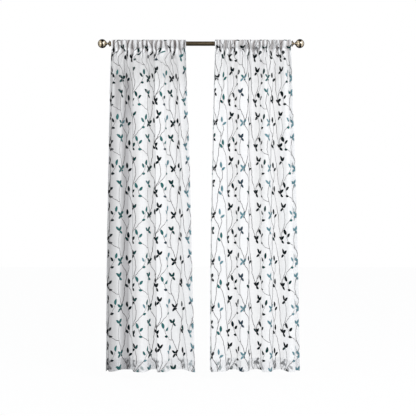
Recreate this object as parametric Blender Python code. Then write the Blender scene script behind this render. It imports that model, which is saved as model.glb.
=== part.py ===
"""A pair of sheer voile curtain panels gathered on one round rod with turned ball finials.

Metres, +Z up. The origin is on the rod's axis, halfway between its ends. +X runs along the rod to the
viewer's right, -Y points at the viewer. Each panel is one sheet: it rises from its bottom hem to the stitch
line under the rod, goes up the front of the rod, over it, and down the back to the same stitch line, so its
cross-section is a closed P with the rod inside the loop.
"""

import bmesh
import bpy
import numpy as np
from math import cos, pi, sin

# ------------------------------------------------------------------ driving sizes (metres)
PANEL_WIDTH = 0.965       # finished flat width of one panel, 38 in
CLOTH = 0.0015            # thickness of the solid sheet
HEM_CLOTH = 0.0024        # at the bottom edge, where the cloth is turned up on itself
TOP_Z = 0.0245            # top fold of the pocket, above the rod's axis
STITCH_Z = -0.032         # stitch line under the rod that closes the pocket
HEM_LINE_Z = -2.034       # stitch line of the bottom hem, 76 mm above the edge
BOTTOM_Z = -2.110         # bottom edge: 84 in below the top fold

ROD_D = 0.028
ROD_WALL = 0.001
ROD_HALF = 0.584          # half the tube's length
BALL_D = 0.057
BALL_AT = 0.053           # ball centre, out from the tube's end
COLLAR_D = 0.039
NECK_D = 0.011
FIT_GAP = 0.0003          # between pieces that touch

# ------------------------------------------------------------------ how the cloth hangs
# One row for a height. Left and right are the panel's edges there. Main, gathers and ripples are how far the
# deep folds, the small gathers of the pocket and the soft ripples between them have developed.
#            z       left     right   main  gathers ripples
HANG = {
    "left": [
        (+0.030, -0.5745, -0.0970, 0.00, 1.00, 0.00),
        (-0.032, -0.5745, -0.0970, 0.00, 1.00, 0.00),
        (-0.075, -0.5770, -0.0960, 0.24, 0.60, 0.30),
        (-0.150, -0.5805, -0.0940, 0.52, 0.20, 0.80),
        (-0.300, -0.5850, -0.0890, 0.78, 0.03, 1.00),
        (-0.686, -0.5934, -0.0742, 0.92, 0.00, 1.00),
        (-1.460, -0.6060, -0.0555, 0.97, 0.00, 1.00),
        (-2.110, -0.6115, -0.0368, 1.00, 0.00, 1.00),
    ],
    "right": [
        (+0.030, +0.0900, +0.5790, 0.00, 1.00, 0.00),
        (-0.032, +0.0900, +0.5790, 0.00, 1.00, 0.00),
        (-0.075, +0.0892, +0.5805, 0.24, 0.60, 0.30),
        (-0.150, +0.0870, +0.5840, 0.52, 0.20, 0.80),
        (-0.300, +0.0820, +0.5890, 0.78, 0.03, 1.00),
        (-0.686, +0.0735, +0.6040, 0.92, 0.00, 1.00),
        (-1.460, +0.0600, +0.6270, 0.97, 0.00, 1.00),
        (-2.110, +0.0574, +0.6380, 1.00, 0.00, 1.00),
    ],
}

# The deep folds, one row for a turn of the cloth. At_top and at_hem are shares of the hung width, reach is in
# millimetres at the hem (negative is towards the viewer), steep is how upright the flank after it stands.
#    at_top  at_hem  reach  steep
FOLDS = {
    "left": [
        (0.000, 0.000, -12, 0.01),
        (0.010, 0.010, +24, 0.00),
        (0.044, 0.044, -29, 0.35),
        (0.213, 0.218, +44, 0.92),
        (0.376, 0.381, -45, 0.92),
        (0.568, 0.563, +44, 0.92),
        (0.586, 0.581, -45, 0.92),
        (0.837, 0.832, +44, 0.00),
        (1.000, 1.000, -44, 0.00),
    ],
    "right": [
        (0.000, 0.000, +29, 0.35),
        (0.014, 0.020, -41, 0.05),
        (0.094, 0.114, -27, 0.92),
        (0.275, 0.281, +40, 0.25),
        (0.347, 0.351, -36, 0.79),
        (0.563, 0.525, +44, 0.81),
        (0.652, 0.626, -45, 0.39),
        (0.792, 0.770, +44, 0.00),
        (0.898, 0.895, -45, 0.91),
        (1.000, 1.000, +8, 0.00),
    ],
}

# The small gathers of the pocket and the soft ripples below it, one row each: its share of the width and its
# relative reach. The right panel starts further down each table, so the two panels aren't twins.
#    share  reach
GATHERS = [
    (1.00, 0.95), (0.70, 0.82), (1.30, 1.06), (0.85, 0.88), (1.15, 1.06), (1.42, 1.03), (0.66, 0.76), (0.95, 1.00),
    (1.25, 1.06), (0.75, 0.86), (1.05, 0.95), (1.38, 1.04), (0.70, 0.80), (0.90, 0.98), (1.20, 1.05), (0.80, 0.90),
]
RIPPLES = [
    (1.00, 0.90), (0.80, 1.10), (1.20, 0.85), (0.95, 1.15), (1.10, 0.95), (0.85, 1.05),
    (1.15, 1.10), (0.90, 0.80), (1.05, 1.05), (1.00, 0.95), (0.88, 0.90), (1.08, 1.08),
]
FIRST_ROW = {"left": (0, 5), "right": (6, 10)}     # first row used of GATHERS and of RIPPLES

# The rows of the solid sheet below the stitch line, bottom edge first: height and thickness.
SHEET_ROWS = [
    (BOTTOM_Z, HEM_CLOTH), (HEM_LINE_Z, CLOTH), (-1.460, CLOTH), (-0.800, CLOTH), (-0.380, CLOTH),
    (-0.180, CLOTH), (-0.085, CLOTH), (STITCH_Z, CLOTH),
]
# The pocket's front half, from the stitch line up: height and how far it stands out from the stitch line's
# own wave. The back half is its mirror image.
POCKET_ROWS = [(-0.0205, 0.0178), (-0.0072, 0.0303), (+0.0072, 0.0303), (+0.0188, 0.0172)]
POCKET_FLOOR = 0.0022     # cloth between the stitch line and the inside of the pocket


# ------------------------------------------------------------------ fold functions
def curve(at, value, x):
    """Smooth curve through a table's points that never overshoots them."""
    at, value = np.asarray(at, float), np.asarray(value, float)
    x = np.clip(x, at[0], at[-1])
    step = np.diff(at)
    slope = np.diff(value) / step
    m = np.zeros(len(at))
    m[0], m[-1] = slope[0], slope[-1]
    for i in range(1, len(slope)):
        if slope[i - 1] * slope[i] > 0:
            a, b = 2 * step[i] + step[i - 1], step[i] + 2 * step[i - 1]
            m[i] = (a + b) / (a / slope[i - 1] + b / slope[i])
    i = np.clip(np.searchsorted(at, x, side="right") - 1, 0, len(slope) - 1)
    t = (x - at[i]) / step[i]
    return (
        (1 + 2 * t) * (1 - t) ** 2 * value[i]
        + t * (1 - t) ** 2 * step[i] * m[i]
        + t * t * (3 - 2 * t) * value[i + 1]
        + t * t * (t - 1) * step[i] * m[i + 1]
    )


def turns(table, first, share):
    """How many of a table's waves have passed at this share of the width."""
    rows = table[first:] + table[:first]
    edge = np.concatenate([[0], np.cumsum([r[0] for r in rows])])
    return curve(edge / edge[-1], np.arange(len(edge)), share)


def wave(table, first, share, pinch):
    """An uneven wave with one hollow for each row of the table. A pinch over 1 narrows the hollows."""
    rows = table[first:] + table[:first]
    edge = np.concatenate([[0], np.cumsum([r[0] for r in rows])])
    edge = edge / edge[-1]
    reach = [r[1] for r in rows]
    middle = 0.5 * (edge[1:] + edge[:-1])
    size = curve(np.concatenate([[0], middle, [1]]), [reach[0]] + reach + [reach[-1]], share)
    return size * (2 * (0.5 - 0.5 * np.cos(2 * pi * turns(table, first, share))) ** pinch - 1)


def section(side, z):
    """The cloth's cross-section at height z: flat distance, x, y, and share of the deep folds' own length."""
    table = HANG[side][::-1]
    heights = [r[0] for r in table]
    x0, x1, main, gathers, ripples = [float(curve(heights, [r[i] for r in table], z)) for i in range(1, 6)]
    folds = FOLDS[side]
    down = (HANG[side][0][0] - z) / (HANG[side][0][0] - HANG[side][-1][0])
    at = np.array([r[0] + (r[1] - r[0]) * down for r in folds])
    reach = np.array([r[2] for r in folds]) * 0.001 * main
    steep = np.array([r[3] for r in folds]) * main
    s = np.linspace(0, len(folds) - 1, 2401)
    i = np.minimum(s.astype(int), len(folds) - 2)
    t = s - i
    x = x0 + (x1 - x0) * (at[i] + (at[i + 1] - at[i]) * (t + steep[i] * np.sin(2 * pi * t) / (2 * pi)))
    y = reach[i] + (reach[i + 1] - reach[i]) * (0.5 - 0.5 * np.cos(pi * t))
    share = np.concatenate([[0], np.cumsum(np.hypot(np.diff(x), np.diff(y)))])
    share = share / share[-1]
    behind = (y - y.min()) / max(y.max() - y.min(), 1e-6)
    valleys = 1 - 0.75 * main * (1 - behind)             # the deep folds leave their crests smooth
    small = gathers * wave(GATHERS, FIRST_ROW[side][0], share, 1.6)
    small += ripples * valleys * wave(RIPPLES, FIRST_ROW[side][1], share, 1.0)
    low, high = 0.0, 0.06
    for _ in range(40):                  # the small folds take up just the width that the deep ones leave
        size = 0.5 * (low + high)
        if np.hypot(np.diff(x), np.diff(y + size * small)).sum() > PANEL_WIDTH:
            high = size
        else:
            low = size
    y = y + size * small
    flat = np.concatenate([[0], np.cumsum(np.hypot(np.diff(x), np.diff(y)))])
    return flat * PANEL_WIDTH / flat[-1], x, y, share


def columns(side):
    """Flat distances of the solid's columns: four to each gather of the pocket."""
    flat, _, _, share = section(side, STITCH_Z)
    passed = turns(GATHERS, FIRST_ROW[side][0], share)
    return np.interp(np.arange(4 * len(GATHERS) + 1) / 4.0, passed, flat)


# ------------------------------------------------------------------ meshes
def finish(name, bm, colour, roughness, metallic, alpha=1.0, parent=None):
    bmesh.ops.recalc_face_normals(bm, faces=bm.faces[:])
    mesh = bpy.data.meshes.new(name)
    bm.to_mesh(mesh)
    bm.free()
    mesh.shade_smooth()
    mesh.set_sharp_from_angle(angle=0.7)
    material = bpy.data.materials.new(name + "_finish")
    material.use_nodes = True
    shader = material.node_tree.nodes["Principled BSDF"]
    shader.inputs["Base Color"].default_value = (*colour, 1.0)
    shader.inputs["Roughness"].default_value = roughness
    shader.inputs["Metallic"].default_value = metallic
    shader.inputs["Alpha"].default_value = alpha
    mesh.materials.append(material)
    obj = bpy.data.objects.new(name, mesh)
    bpy.context.scene.collection.objects.link(obj)
    obj.parent = parent
    return obj


def panel(side, parent):
    """One sheet with a P-shaped section: rows of the sheet, then the loop of the pocket."""
    cols = columns(side)
    n = len(cols)

    def row(z, out=0.0):
        flat, x, y, _ = section(side, z)
        return np.stack([np.interp(cols, flat, x), np.interp(cols, flat, y) - out, np.full(n, z)], axis=1)

    sheet = np.array([row(z) for z, _ in SHEET_ROWS])
    thick = np.array([t for _, t in SHEET_ROWS])
    loop = [row(STITCH_Z)]
    loop += [row(z, out) for z, out in POCKET_ROWS]
    loop += [row(TOP_Z)]
    loop += [row(z, -out) for z, out in POCKET_ROWS[::-1]]
    loop += [row(STITCH_Z)]
    loop = np.array(loop)

    def normals(grid):
        across = np.gradient(grid, axis=1)
        up = np.gradient(grid, axis=0)
        out = np.cross(across, up)
        return out / np.linalg.norm(out, axis=2, keepdims=True)

    # Below the stitch line the two faces part along the level section's own normal.
    level = np.gradient(sheet, axis=1)
    level = np.stack([level[:, :, 1], -level[:, :, 0], np.zeros(level.shape[:2])], axis=2)
    level = level / np.linalg.norm(level, axis=2, keepdims=True)
    front = sheet + level * thick[:, None, None] / 2
    back = sheet - level * thick[:, None, None] / 2
    out = normals(loop)
    outer = loop + out * CLOTH / 2
    inner = loop - out * CLOTH / 2
    outer[0], outer[-1] = front[-1], back[-1]
    inner[0] = row(STITCH_Z + POCKET_FLOOR)
    inner = inner[:-1]

    bm = bmesh.new()

    def verts(grid):
        return [[bm.verts.new(p) for p in line] for line in grid]

    f, b = verts(front), verts(back)
    o = [f[-1]] + verts(outer[1:-1]) + [b[-1]]
    i = verts(inner)
    i.append(i[0])

    def strip(lower, upper, slant):
        for j in range(len(lower) - 1):
            p, q, r, s = lower[j], lower[j + 1], upper[j + 1], upper[j]
            if slant[j]:
                bm.faces.new((p, q, r))
                bm.faces.new((p, r, s))
            else:
                bm.faces.new((p, q, s))
                bm.faces.new((q, r, s))

    def slants(grid, k):
        """The shorter diagonal of each cell, the same one on both faces of the sheet."""
        one = np.linalg.norm(grid[k + 1][1:] - grid[k][:-1], axis=1)
        other = np.linalg.norm(grid[k + 1][:-1] - grid[k][1:], axis=1)
        return one <= other

    for k in range(len(f) - 1):
        s = slants(sheet, k)
        strip(f[k], f[k + 1], s)
        strip(b[k], b[k + 1], s)
        for j in (0, -1):
            bm.faces.new((f[k][j], f[k + 1][j], b[k + 1][j], b[k][j]))
    strip(f[0], b[0], [True] * (n - 1))
    for k in range(len(o) - 1):
        s = slants(loop, k)
        strip(o[k], o[k + 1], s)
        strip(i[k], i[k + 1], s)
        for j in (0, -1):
            bm.faces.new((o[k][j], o[k + 1][j], i[k + 1][j], i[k][j]))
    for j in (0, -1):
        bm.faces.new((f[-1][j], b[-1][j], i[0][j]))
    bmesh.ops.triangulate(bm, faces=[x for x in bm.faces if len(x.verts) > 3])
    return finish("panel_" + side, bm, (0.93, 0.93, 0.94), 0.85, 0.0, 0.75, parent)


def turned(profile, steps, closed):
    """A piece turned about X from a profile of (x, radius). A radius of 0 closes an end in one point."""
    bm = bmesh.new()
    rings = []
    for x, r in profile:
        if r == 0:
            rings.append([bm.verts.new((x, 0, 0))] * steps)
        else:
            rings.append([bm.verts.new((x, r * cos(2 * pi * k / steps), r * sin(2 * pi * k / steps)))
                          for k in range(steps)])
    pairs = list(zip(rings, rings[1:] + ([rings[0]] if closed else [])))
    for one, two in (pairs if closed else pairs[: len(rings) - 1]):
        for k in range(steps):
            ring = []
            for v in (one[k], one[(k + 1) % steps], two[(k + 1) % steps], two[k]):
                if v not in ring:
                    ring.append(v)
            bm.faces.new(ring)
    return bm


def rod(parent):
    r, wall = ROD_D / 2, ROD_WALL
    ends = [(-ROD_HALF, r - wall), (-ROD_HALF, r), (ROD_HALF, r), (ROD_HALF, r - wall)]
    return finish("rod", turned(ends, 24, True), (0.42, 0.33, 0.21), 0.35, 1.0, parent=parent)


def finial(name, turn, parent):
    """Plug inside the tube, a conical collar over its end, a neck and a ball, along +X from the tube's end."""
    ball = BALL_D / 2
    plug = ROD_D / 2 - ROD_WALL - 2 * FIT_GAP
    lip = COLLAR_D / 2
    neck = NECK_D / 2
    profile = [(-0.022, 0), (-0.022, plug * 0.94), (-0.020, plug), (FIT_GAP, plug), (FIT_GAP, lip * 0.78)]
    profile += [(0.0018, lip * 0.93), (0.0042, lip), (0.0056, lip * 0.97)]
    cone = 4                                             # the collar tapers straight down to the neck
    for k in range(1, cone + 1):
        t = k / cone
        profile.append((0.0056 + 0.0112 * t, neck + (lip * 0.97 - neck) * (1 - t) ** 1.2))
    profile += [(0.0205, neck * 1.08), (0.0240, neck * 1.62)]
    lean = 0.52                                          # where the ball leaves the neck
    rings = 12
    for k in range(rings):
        a = lean + (pi - lean) * k / rings
        profile.append((BALL_AT - ball * cos(a), ball * sin(a)))
    profile.append((BALL_AT + ball, 0))
    obj = finish(name, turned(profile, 18, False), (0.45, 0.36, 0.24), 0.3, 1.0, parent=parent)
    obj.location = (ROD_HALF * (1 if turn == 0 else -1), 0, 0)
    obj.rotation_euler = (0, 0, turn)
    return obj


def main():
    for old in list(bpy.data.objects):
        bpy.data.objects.remove(old, do_unlink=True)
    axis = bpy.data.objects.new("rod_axis", None)
    bpy.context.scene.collection.objects.link(axis)
    panel("left", axis)
    panel("right", axis)
    rod(axis)
    finial("finial_left", pi, axis)
    finial("finial_right", 0, axis)


main()
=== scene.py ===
"""Looks of the sheer voile curtain: two embroidered rod-pocket panels gathered on an antique brass rod.

Each panel is one thin sheet laid on the folds of its solid: the turned side hems, the pocket round the rod and
the turned-up bottom hem are all the same cloth. The leaf vine is charted below as one 300 mm repeat and
embroidered through the flat cloth, so it follows every fold and shows reversed in the hem.
"""

from math import cos, pi, radians, sin

import bpy
import numpy as np
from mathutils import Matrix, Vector


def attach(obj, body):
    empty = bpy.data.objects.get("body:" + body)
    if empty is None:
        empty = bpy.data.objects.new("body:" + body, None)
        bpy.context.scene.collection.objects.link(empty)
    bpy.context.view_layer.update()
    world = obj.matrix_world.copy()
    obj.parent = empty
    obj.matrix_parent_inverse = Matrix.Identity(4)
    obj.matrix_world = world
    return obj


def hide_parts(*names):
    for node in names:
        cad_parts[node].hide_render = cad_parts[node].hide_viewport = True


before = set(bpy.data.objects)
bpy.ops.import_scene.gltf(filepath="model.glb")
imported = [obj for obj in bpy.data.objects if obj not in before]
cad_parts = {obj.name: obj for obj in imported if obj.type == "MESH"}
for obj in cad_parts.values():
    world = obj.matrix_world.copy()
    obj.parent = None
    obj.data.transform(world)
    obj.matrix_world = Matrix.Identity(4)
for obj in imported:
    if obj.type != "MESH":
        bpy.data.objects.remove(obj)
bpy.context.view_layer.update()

# ------------------------------------------------------------------ sizes (metres)
PANEL_WIDTH = 0.965       # finished flat width of one panel
TOP_Z = 0.0245            # top fold of the pocket, above the rod's axis
STITCH_Z = -0.032         # stitch line that closes the pocket
BOTTOM_Z = -2.110         # bottom edge
SIDE_HEM = 0.024          # turned to the back along both sides
BOTTOM_HEM = 0.076        # turned up at the back
ROD_D = 0.028
ROD_HALF = 0.584
BALL_D = 0.057
BALL_AT = 0.053
COLLAR_D = 0.039
NECK_D = 0.011

# ------------------------------------------------------------------ how the cloth hangs
# One row for a height. Left and right are the panel's edges there. Main, gathers and ripples are how far the
# deep folds, the small gathers of the pocket and the soft ripples between them have developed.
#            z       left     right   main  gathers ripples
HANG = {
    "left": [
        (+0.030, -0.5745, -0.0970, 0.00, 1.00, 0.00),
        (-0.032, -0.5745, -0.0970, 0.00, 1.00, 0.00),
        (-0.075, -0.5770, -0.0960, 0.24, 0.60, 0.30),
        (-0.150, -0.5805, -0.0940, 0.52, 0.20, 0.80),
        (-0.300, -0.5850, -0.0890, 0.78, 0.03, 1.00),
        (-0.686, -0.5934, -0.0742, 0.92, 0.00, 1.00),
        (-1.460, -0.6060, -0.0555, 0.97, 0.00, 1.00),
        (-2.110, -0.6115, -0.0368, 1.00, 0.00, 1.00),
    ],
    "right": [
        (+0.030, +0.0900, +0.5790, 0.00, 1.00, 0.00),
        (-0.032, +0.0900, +0.5790, 0.00, 1.00, 0.00),
        (-0.075, +0.0892, +0.5805, 0.24, 0.60, 0.30),
        (-0.150, +0.0870, +0.5840, 0.52, 0.20, 0.80),
        (-0.300, +0.0820, +0.5890, 0.78, 0.03, 1.00),
        (-0.686, +0.0735, +0.6040, 0.92, 0.00, 1.00),
        (-1.460, +0.0600, +0.6270, 0.97, 0.00, 1.00),
        (-2.110, +0.0574, +0.6380, 1.00, 0.00, 1.00),
    ],
}

# The deep folds, one row for a turn of the cloth. At_top and at_hem are shares of the hung width, reach is in
# millimetres at the hem (negative is towards the viewer), steep is how upright the flank after it stands.
#    at_top  at_hem  reach  steep
FOLDS = {
    "left": [
        (0.000, 0.000, -12, 0.01),
        (0.010, 0.010, +24, 0.00),
        (0.044, 0.044, -29, 0.35),
        (0.213, 0.218, +44, 0.92),
        (0.376, 0.381, -45, 0.92),
        (0.568, 0.563, +44, 0.92),
        (0.586, 0.581, -45, 0.92),
        (0.837, 0.832, +44, 0.00),
        (1.000, 1.000, -44, 0.00),
    ],
    "right": [
        (0.000, 0.000, +29, 0.35),
        (0.014, 0.020, -41, 0.05),
        (0.094, 0.114, -27, 0.92),
        (0.275, 0.281, +40, 0.25),
        (0.347, 0.351, -36, 0.79),
        (0.563, 0.525, +44, 0.81),
        (0.652, 0.626, -45, 0.39),
        (0.792, 0.770, +44, 0.00),
        (0.898, 0.895, -45, 0.91),
        (1.000, 1.000, +8, 0.00),
    ],
}

# The small gathers of the pocket and the soft ripples below it, one row each: its share of the width and its
# relative reach. The right panel starts further down each table, so the two panels aren't twins.
#    share  reach
GATHERS = [
    (1.00, 0.95), (0.70, 0.82), (1.30, 1.06), (0.85, 0.88), (1.15, 1.06), (1.42, 1.03), (0.66, 0.76), (0.95, 1.00),
    (1.25, 1.06), (0.75, 0.86), (1.05, 0.95), (1.38, 1.04), (0.70, 0.80), (0.90, 0.98), (1.20, 1.05), (0.80, 0.90),
]
RIPPLES = [
    (1.00, 0.90), (0.80, 1.10), (1.20, 0.85), (0.95, 1.15), (1.10, 0.95), (0.85, 1.05),
    (1.15, 1.10), (0.90, 0.80), (1.05, 1.05), (1.00, 0.95), (0.88, 0.90), (1.08, 1.08),
]
FIRST_ROW = {"left": (0, 5), "right": (6, 10)}     # first row used of GATHERS and of RIPPLES

# ------------------------------------------------------------------ fold functions
def curve(at, value, x):
    """Smooth curve through a table's points that never overshoots them."""
    at, value = np.asarray(at, float), np.asarray(value, float)
    x = np.clip(x, at[0], at[-1])
    step = np.diff(at)
    slope = np.diff(value) / step
    m = np.zeros(len(at))
    m[0], m[-1] = slope[0], slope[-1]
    for i in range(1, len(slope)):
        if slope[i - 1] * slope[i] > 0:
            a, b = 2 * step[i] + step[i - 1], step[i] + 2 * step[i - 1]
            m[i] = (a + b) / (a / slope[i - 1] + b / slope[i])
    i = np.clip(np.searchsorted(at, x, side="right") - 1, 0, len(slope) - 1)
    t = (x - at[i]) / step[i]
    return (
        (1 + 2 * t) * (1 - t) ** 2 * value[i]
        + t * (1 - t) ** 2 * step[i] * m[i]
        + t * t * (3 - 2 * t) * value[i + 1]
        + t * t * (t - 1) * step[i] * m[i + 1]
    )


def turns(table, first, share):
    """How many of a table's waves have passed at this share of the width."""
    rows = table[first:] + table[:first]
    edge = np.concatenate([[0], np.cumsum([r[0] for r in rows])])
    return curve(edge / edge[-1], np.arange(len(edge)), share)


def wave(table, first, share, pinch):
    """An uneven wave with one hollow for each row of the table. A pinch over 1 narrows the hollows."""
    rows = table[first:] + table[:first]
    edge = np.concatenate([[0], np.cumsum([r[0] for r in rows])])
    edge = edge / edge[-1]
    reach = [r[1] for r in rows]
    middle = 0.5 * (edge[1:] + edge[:-1])
    size = curve(np.concatenate([[0], middle, [1]]), [reach[0]] + reach + [reach[-1]], share)
    return size * (2 * (0.5 - 0.5 * np.cos(2 * pi * turns(table, first, share))) ** pinch - 1)


def section(side, z):
    """The cloth's cross-section at height z: flat distance, x, y, and share of the deep folds' own length."""
    table = HANG[side][::-1]
    heights = [r[0] for r in table]
    x0, x1, main, gathers, ripples = [float(curve(heights, [r[i] for r in table], z)) for i in range(1, 6)]
    folds = FOLDS[side]
    down = (HANG[side][0][0] - z) / (HANG[side][0][0] - HANG[side][-1][0])
    at = np.array([r[0] + (r[1] - r[0]) * down for r in folds])
    reach = np.array([r[2] for r in folds]) * 0.001 * main
    steep = np.array([r[3] for r in folds]) * main
    s = np.linspace(0, len(folds) - 1, 2401)
    i = np.minimum(s.astype(int), len(folds) - 2)
    t = s - i
    x = x0 + (x1 - x0) * (at[i] + (at[i + 1] - at[i]) * (t + steep[i] * np.sin(2 * pi * t) / (2 * pi)))
    y = reach[i] + (reach[i + 1] - reach[i]) * (0.5 - 0.5 * np.cos(pi * t))
    share = np.concatenate([[0], np.cumsum(np.hypot(np.diff(x), np.diff(y)))])
    share = share / share[-1]
    behind = (y - y.min()) / max(y.max() - y.min(), 1e-6)
    valleys = 1 - 0.75 * main * (1 - behind)             # the deep folds leave their crests smooth
    small = gathers * wave(GATHERS, FIRST_ROW[side][0], share, 1.6)
    small += ripples * valleys * wave(RIPPLES, FIRST_ROW[side][1], share, 1.0)
    low, high = 0.0, 0.06
    for _ in range(40):                  # the small folds take up just the width that the deep ones leave
        size = 0.5 * (low + high)
        if np.hypot(np.diff(x), np.diff(y + size * small)).sum() > PANEL_WIDTH:
            high = size
        else:
            low = size
    y = y + size * small
    flat = np.concatenate([[0], np.cumsum(np.hypot(np.diff(x), np.diff(y)))])
    return flat * PANEL_WIDTH / flat[-1], x, y, share


# ------------------------------------------------------------------ the flat cloth and where each point hangs
# The pocket's front half in section, top fold first: height and distance from the stitch line's own wave.
POCKET = [(0.0245, 0.0), (0.0238, 0.0074), (0.0188, 0.0172), (0.0115, 0.0256), (0.0040, 0.0300), (-0.0050, 0.0303),
          (-0.0130, 0.0250), (-0.0205, 0.0175), (-0.0270, 0.0086), (-0.0320, 0.0)]


def pocket_profile():
    """Arc length, height and distance out along the pocket's front half, from the top fold to the stitch line."""
    key = np.array(POCKET)
    at = np.concatenate([[0], np.cumsum(np.hypot(*np.diff(key, axis=0).T))])
    fine = np.linspace(0, at[-1], 200)
    z = np.interp(fine, at, key[:, 0])
    out = np.interp(fine, at, key[:, 1])
    for _ in range(60):                        # round the corners between the key points
        z[1:-1] = (z[:-2] + 2 * z[1:-1] + z[2:]) / 4
        out[1:-1] = (out[:-2] + 2 * out[1:-1] + out[2:]) / 4
    run = np.concatenate([[0], np.cumsum(np.hypot(np.diff(z), np.diff(out)))])
    return run, z, out


RUN, RUN_Z, RUN_OUT = pocket_profile()
POCKET_RUN = float(RUN[-1])
LENGTH = POCKET_RUN + STITCH_Z - BOTTOM_Z      # from the top fold down the front to the bottom edge


def creases(side, u, z):
    """Small uneven wrinkles of the voile, in metres off the smooth folds."""
    rng = np.random.default_rng({"left": 11, "right": 23}[side])
    d = np.zeros(np.broadcast(u, z).shape)
    for _ in range(16):
        across, down = rng.uniform(5, 19), rng.uniform(0.25, 1.6)
        lean, turn, size = rng.choice([-1, 1]), rng.uniform(0, 2 * pi), rng.uniform(0.3, 1.0)
        d += size * np.sin(2 * pi * (across * u + lean * down * z) + turn)
    near = np.clip((z + 0.34) / 0.30, 0, 1)    # more of them where the gathers let go
    for _ in range(8):
        across, down = rng.uniform(9, 22), rng.uniform(3.0, 7.0)
        lean, turn = rng.choice([-1, 1]), rng.uniform(0, 2 * pi)
        d += 1.1 * near * np.sin(2 * pi * (across * u + lean * down * z) + turn)
    fade = np.clip((STITCH_Z - z) / 0.04, 0, 1)
    return 0.00035 * d * fade


def ease(x):
    x = np.clip(x, 0, 1)
    return x * x * (3 - 2 * x)


def uneven(seed, u, table):
    """A smooth uneven run over the panel's width: the table has waves across the width and their size."""
    rng = np.random.default_rng(seed)
    return sum(a * np.sin(2 * pi * k * u / PANEL_WIDTH + rng.uniform(0, 2 * pi)) for k, a in table)


# Painted shade added across the left panel's width, more than its folds alone give: flat distance (m) and amount,
# below the head and just under it.
SHADE_BELOW = [(0.000, -0.3), (0.050, 0.0), (0.070, 0.2), (0.090, 1.1), (0.098, 1.3), (0.109, 1.3), (0.120, 0.95),
               (0.132, 0.70), (0.144, 0.50), (0.156, -0.05), (0.179, -0.95), (0.205, -0.25), (0.218, 0.22), (0.230, 0.25),
               (0.247, 0.42), (0.258, -0.40), (0.265, -0.40), (0.276, -0.15), (0.300, 0.30), (0.336, 0.65),
               (0.358, 1.00), (0.375, 0.60), (0.397, 0.10), (0.420, 0.0)]
SHADE_ABOVE = [(0.000, -0.4), (0.056, -0.4), (0.078, -0.2), (0.110, -0.1), (0.116, 0.1), (0.128, 0.70), (0.140, 1.7),
               (0.150, 1.8), (0.160, 1.4), (0.177, 0.2), (0.190, -0.7), (0.207, -0.9), (0.222, 0.2), (0.238, 0.3),
               (0.258, 1.2), (0.281, 0.6), (0.293, 0.4), (0.349, 0.4), (0.368, 0.3), (0.383, 0.3), (0.430, 0.0)]


def hollow(side, u, behind, z, front):
    """Painted shade and closeness of the cloth: painted dark and close between the puckers of the pocket, with a
    painted highlight on their front crests, softer painted shade in the deep folds, below the stitch line and over the
    left panel's outer quarter.
    """
    seed = {"left": 3, "right": 4}[side]
    below = np.clip((STITCH_Z - z) / 0.085, 0, 1)
    fade = {"left": 1.2, "right": 2.2}[side]
    pucker = {"left": 0.68, "right": 0.60}[side] * (1 - np.clip(below * 1.05, 0, 1)) ** fade
    deep = ease((STITCH_Z - z - 0.03) / 0.22)
    outer = {"left": ease((0.300 - u) / 0.05), "right": 0 * u}[side]
    mottle = np.clip(1 + uneven(seed, u, [(5, 0.30), (13, 0.22), (23, 0.18)]), 0.25, 1.5)
    start = {"left": 0.17, "right": 0.26}[side]
    # Painted shade between the puckers of the pocket, tinted like the brown rod behind them, and a little on the
    # pocket's back layer.
    a = np.clip(pucker * mottle * ease((behind - start) / 0.66), 0, 1) if front else 0.15 * pucker * ease((0.5 - behind) / 0.5)
    # Painted shade in the hollows of the deep folds, and an even painted shade over the left panel's outer quarter; on
    # the left panel the tables above add more.
    b = deep * ({"left": 0.15, "right": 0.09}[side] + 0.59 * outer) * ease((behind - 0.42) / 0.50) + 0.42 * deep * outer
    if side == "left":
        low = ease((-z - 0.25) / 0.35)
        more = [np.interp(u, [k[0] for k in table], [k[1] for k in table]) for table in (SHADE_ABOVE, SHADE_BELOW)]
        b = np.clip(1.06 * b + deep * ((1 - low) * more[0] + low * more[1]) + 0.06 * deep, 0, 1.75)
    # Tints of the painted shade: brownish between the puckers, grey in the deep folds.
    pucker_shade_tint, fold_shade_tint = np.array([0.46, 0.41, 0.395]), np.array([0.605, 0.60, 0.605])
    # Painted shade in a band below the pocket's stitch line.
    head_shade = {"left": 0.30, "right": 0.12}[side] * ease((STITCH_Z - z - 0.01) / 0.08) * (1 - ease((STITCH_Z - z - 0.12) / 0.17))
    # Painted highlight on the front crests of the pocket's puckers.
    crest = 0.13 * ease((0.36 - behind) / 0.30) * (1 - below) if front else 0 * u
    shade = (1 - a[..., None] * (1 - pucker_shade_tint)) * (1 - b[..., None] * (1 - fold_shade_tint)) * (1 - head_shade) * (1 + crest[..., None])
    close = np.clip((1 - below) ** (0.75 * fade) * (0.75 + 0.25 * mottle) + deep * outer * (0.22 + 0.28 * ease((behind - 0.3) / 0.5)), 0, 1)
    if side == "right":
        close = close - 0.40 * deep * ease((behind - 0.42) / 0.50)       # the deep folds there let more light by
    return shade, close


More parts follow.
